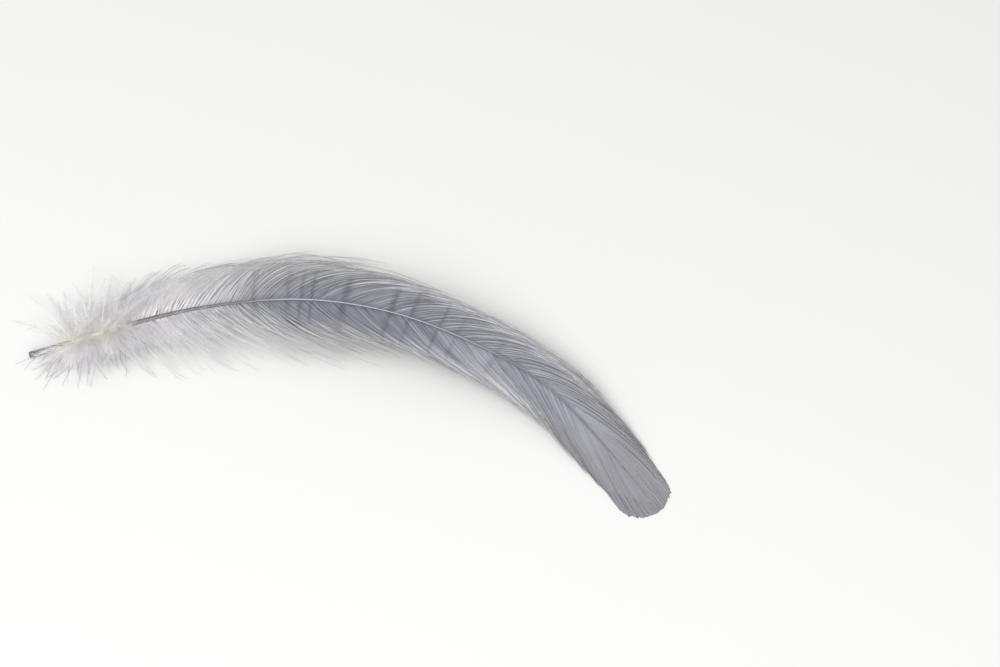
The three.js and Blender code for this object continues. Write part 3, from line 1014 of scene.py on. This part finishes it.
def shaft_mesh(settings):
    """Tapering shaft with a groove below, a slanting cut and an open pith at the quill's end."""
    bm = bmesh.new()
    station_layer = bm.verts.layers.float.new("station")
    over_layer = bm.verts.layers.float.new("over")

    def add_ring(station, size=1.0):
        ring = []
        for side in range(settings.sides):
            angle = 2 * math.pi * side / settings.sides
            up_share = math.sin(angle)
            slant = CUT_SLANT * up_share * max(0, 1 - station / CUT_LENGTH)
            place, ahead = MIDDLE_LINE.at(max(station - slant, 0) if station > 0 else 0)
            sideways = Vector((0, 0, 1)).cross(ahead).normalized()
            normal = ahead.cross(sideways)
            grooved = min(1, max(0, (station - GROOVE_FROM) / (GROOVE_FULL - GROOVE_FROM)))
            groove = 1 - GROOVE_DEPTH * grooved * max(0, -up_share) ** GROOVE_POWER
            uneven = 1 + 0.02 * math.sin(station * 1.9 + angle) + 0.015 * math.sin(station * 4.3 - 2 * angle)
            radius = along(SHAFT_RADIUS, station) * size * groove * uneven
            vert = bm.verts.new((place + (sideways * math.cos(angle) + normal * up_share) * radius) * MM)
            vert[station_layer] = station
            vert[over_layer] = up_share
            ring.append(vert)
        return ring

    def join(rings):
        for first, second in zip(rings, rings[1:]):
            for side in range(settings.sides):
                after = (side + 1) % settings.sides
                bm.faces.new((first[side], first[after], second[after], second[side]))

    ring_gap = settings.ring_gap / MM
    steps = round(SHAFT_END / ring_gap)
    outside = [add_ring(SHAFT_END * step / steps) for step in range(steps + 1)]
    pith_steps = round(PITH_DEPTH / ring_gap)
    inside = [add_ring(PITH_DEPTH * step / pith_steps, PITH_SHARE) for step in range(pith_steps, -1, -1)]
    lip = [add_ring(0, share) for share in LIP_SHARES]
    join(inside + lip + outside)
    bm.faces.new(outside[-1])
    bm.faces.new(list(reversed(inside[0])))
    bmesh.ops.recalc_face_normals(bm, faces=bm.faces)
    mesh = bpy.data.meshes.new("shaft")
    bm.to_mesh(mesh)
    bm.free()
    mesh.polygons.foreach_set("use_smooth", [True] * len(mesh.polygons))
    return mesh


class FEATHER_OT_shaft(bpy.types.Operator):
    """Makes the quill and shaft"""

    bl_idname = "feather.shaft"
    bl_label = "Shaft"

    def execute(self, context):
        settings = context.scene.feather_shaft
        shaft = place_piece("shaft", shaft_mesh(settings))
        shaft.data.materials.append(shaft_finish(settings))
        hand_over(shaft)
        return {"FINISHED"}


class FEATHER_OT_vanes(bpy.types.Operator):
    """Makes the webbed barbs on both sides of the shaft"""

    bl_idname = "feather.vanes"
    bl_label = "Vanes"

    def execute(self, context):
        settings = context.scene.feather_vane
        material = barb_finish(settings)
        group = barb_tree()
        for name, side in (("far_vane", FAR), ("near_vane", NEAR)):
            values = {
                "Material": material,
                "Seed": settings.seed + side,
                "Side": float(side),
                "Sides": 4,
                "Steps": 28,
                "Barbs": settings.barbs,
                "First Root": 13.5,
                "Last Root": LAST_ROOT,
                "Crowding": 1.6,
                "Web Width": settings.web_width / MM,
                "Free Width": settings.free_width / MM,
                "Thickness": settings.thickness / MM,
                "Reach": 0.97,
                "Reach Spread": 0.1,
                "Overlength": 0.0,
                "Breakage": 1.0,
                "Lift": 0.35,
                "Waver": 0.06,
                "Roll": 0.3,
                "Lock Size": settings.lock_size / MM,
                "Lock Pull": settings.lock_pull,
            }
            hand_over(grow(name, group, values))
        return {"FINISHED"}


class FEATHER_OT_fringes(bpy.types.Operator):
    """Makes the loose hairs that stand out of both vanes"""

    bl_idname = "feather.fringes"
    bl_label = "Fringes"

    def execute(self, context):
        settings = context.scene.feather_fringe
        material = bpy.data.materials["barb_silk"]
        group = barb_tree()
        for name, side in (("far_fringe", FAR), ("near_fringe", NEAR)):
            values = {
                "Material": material,
                "Seed": settings.seed + side,
                "Side": float(side),
                "Sides": 3,
                "Steps": 22,
                "Barbs": settings.hairs,
                "First Root": 14.0,
                "Last Root": LAST_LOOSE_ROOT,
                "Crowding": 1.25,
                "Web Width": settings.width / MM,
                "Free Width": settings.width / MM,
                "Thickness": settings.width / MM,
                "Reach": settings.reach,
                "Reach Spread": settings.spread,
                "Overlength": settings.overlength,
                "Breakage": settings.breakage,
                "Lift": settings.lift / MM,
                "Waver": settings.waver / MM,
                "Roll": 0.0,
                "Lock Size": 2.3,
                "Lock Pull": 0.7,
            }
            hand_over(grow(name, group, values))
        return {"FINISHED"}


class FEATHER_OT_down(bpy.types.Operator):
    """Makes the down round the quill and the fluff at the foot of both vanes"""

    bl_idname = "feather.down"
    bl_label = "Down"

    def execute(self, context):
        settings = context.scene.feather_down
        material = down_finish(settings)
        stems = {
            "Material": material,
            "Seed": settings.seed,
            "Sides": 3,
            "Stems": settings.stems,
            "Stem Length": settings.length / MM,
        }
        values = {**stems, "Steps": 12, "Stem Width": settings.stem_width / MM}
        hand_over(grow("down_stems", down_stem_tree(), values))
        hairs = {
            "Hairs per Stem": settings.hairs_per_stem,
            "Hair From": 0.02,
            "Hair To": 0.62,
            "Hair Length": settings.hair_length / MM,
            "Hair Width": settings.hair_width / MM,
            "Spread Angle": math.radians(62),
            "Steps": 3,
        }
        hand_over(grow("down_hairs", down_hair_tree(), {**stems, **hairs}))

        vane = context.scene.feather_vane
        group = fluff_tree()
        for name, side in (("far_fluff", FAR), ("near_fluff", NEAR)):
            values = {
                **hairs,
                "Material": material,
                "Seed": vane.seed + side,
                "Side": float(side),
                "Sides": 3,
                "Barbs": 96,
                "First Root": 11.5,
                "Last Root": LAST_FLUFF_ROOT,
                "Crowding": 1.0,
                "Reach": 0.86,
                "Reach Spread": 0.13,
                "Overlength": 0.0,
                "Breakage": 1.0,
                "Lift": 1.4,
                "Waver": 0.4,
                "Lock Size": 1.3,
                "Lock Pull": 0.5,
                "Hairs per Stem": settings.fluff_hairs,
                "Hair To": 1.0 if side == FAR else 0.68,
            }
            hand_over(grow(name, group, values))
        return {"FINISHED"}


def floor_finish(settings):
    """Pale matt paper with a faint fibre."""
    finish = Finish("floor_paper", {"Roughness": 0.9, "Specular IOR Level": 0.2})
    fibre = finish.noise(finish.object_place, 60.0, 4.0)
    fine = finish.noise(finish.object_place, 900.0, 3.0)
    tone = finish.ramp(fibre, 0.2, 0.8, 0.0, 0.04)
    colour = finish.mix(tone, settings.floor, FLOOR_FIBRE)
    finish.bump(fine, 0.00002, 0.2)
    return finish.finish(colour)


def add_light(name, power, size, place):
    """Soft round light that points at the feather's middle."""
    data = bpy.data.lights.new(name, "AREA")
    data.shape = "DISK"
    data.energy = power
    data.size = size
    light = bpy.data.objects.new(name, data)
    light.location = place
    light.rotation_euler = (-Vector(place)).to_track_quat("-Z", "Y").to_euler()
    bpy.context.scene.collection.objects.link(light)


class FEATHER_OT_stage(bpy.types.Operator):
    """Makes the floor, the soft lights and the camera"""

    bl_idname = "feather.stage"
    bl_label = "Stage"

    def execute(self, context):
        settings = context.scene.feather_stage
        scene = context.scene
        bm = bmesh.new()
        bmesh.ops.create_circle(bm, cap_ends=True, segments=FLOOR_SIDES, radius=FLOOR_RADIUS)
        mesh = bpy.data.meshes.new("floor")
        bm.to_mesh(mesh)
        bm.free()
        floor = place_piece("floor", mesh)
        mesh.materials.append(floor_finish(settings))

        add_light("key", settings.key, KEY_SIZE, KEY_PLACE)
        add_light("fill", settings.fill, FILL_SIZE, FILL_PLACE)
        scene.world = scene.world or bpy.data.worlds.new("studio")
        scene.world.use_nodes = True
        sky = scene.world.node_tree.nodes["Background"]
        sky.inputs["Color"].default_value = (1.0, 1.0, 1.0, 1)
        sky.inputs["Strength"].default_value = settings.sky
        scene.view_settings.view_transform = "Standard"

        turn = math.radians(VIEW_AZIMUTH)
        tilt = math.radians(VIEW_ELEVATION)
        level = math.cos(tilt)
        forward = Vector((-math.sin(turn) * level, math.cos(turn) * level, -math.sin(tilt)))
        data = bpy.data.cameras.new("camera")
        data.lens = VIEW_LENS
        data.sensor_width = VIEW_SENSOR
        data.clip_start = VIEW_FROM
        camera = bpy.data.objects.new("camera", data)
        camera.location = (Vector(VIEW_TARGET) - forward * VIEW_DISTANCE) * MM
        camera.rotation_euler = forward.to_track_quat("-Z", "Y").to_euler()
        scene.collection.objects.link(camera)
        scene.camera = camera
        return {"FINISHED"}


SETTINGS = {
    "feather_shaft": ShaftSettings,
    "feather_vane": VaneSettings,
    "feather_fringe": FringeSettings,
    "feather_down": DownSettings,
    "feather_stage": StageSettings,
}
OPERATORS = (FEATHER_OT_shaft, FEATHER_OT_vanes, FEATHER_OT_fringes, FEATHER_OT_down, FEATHER_OT_stage)


class FEATHER_PT_panel(bpy.types.Panel):
    """Lists the feather's pieces with their sizes and colours"""

    bl_idname = "FEATHER_PT_panel"
    bl_label = "Hackle Feather"
    bl_space_type = "VIEW_3D"
    bl_region_type = "UI"
    bl_category = "Feather"

    def draw(self, context):
        for operator, name in zip(OPERATORS, SETTINGS):
            box = self.layout.box()
            box.operator(operator.bl_idname)
            settings = getattr(context.scene, name)
            for key in settings.__annotations__:
                box.prop(settings, key)


CLASSES = (*SETTINGS.values(), *OPERATORS, FEATHER_PT_panel)


def register():
    for item in CLASSES:
        bpy.utils.register_class(item)
    for name, group in SETTINGS.items():
        setattr(bpy.types.Scene, name, PointerProperty(type=group))


def unregister():
    for name in SETTINGS:
        delattr(bpy.types.Scene, name)
    for item in reversed(CLASSES):
        bpy.utils.unregister_class(item)


def main():
    register()
    bpy.ops.feather.shaft()
    bpy.ops.feather.vanes()
    bpy.ops.feather.fringes()
    bpy.ops.feather.down()
    bpy.ops.feather.stage()


if __name__ == "__main__":
    main()
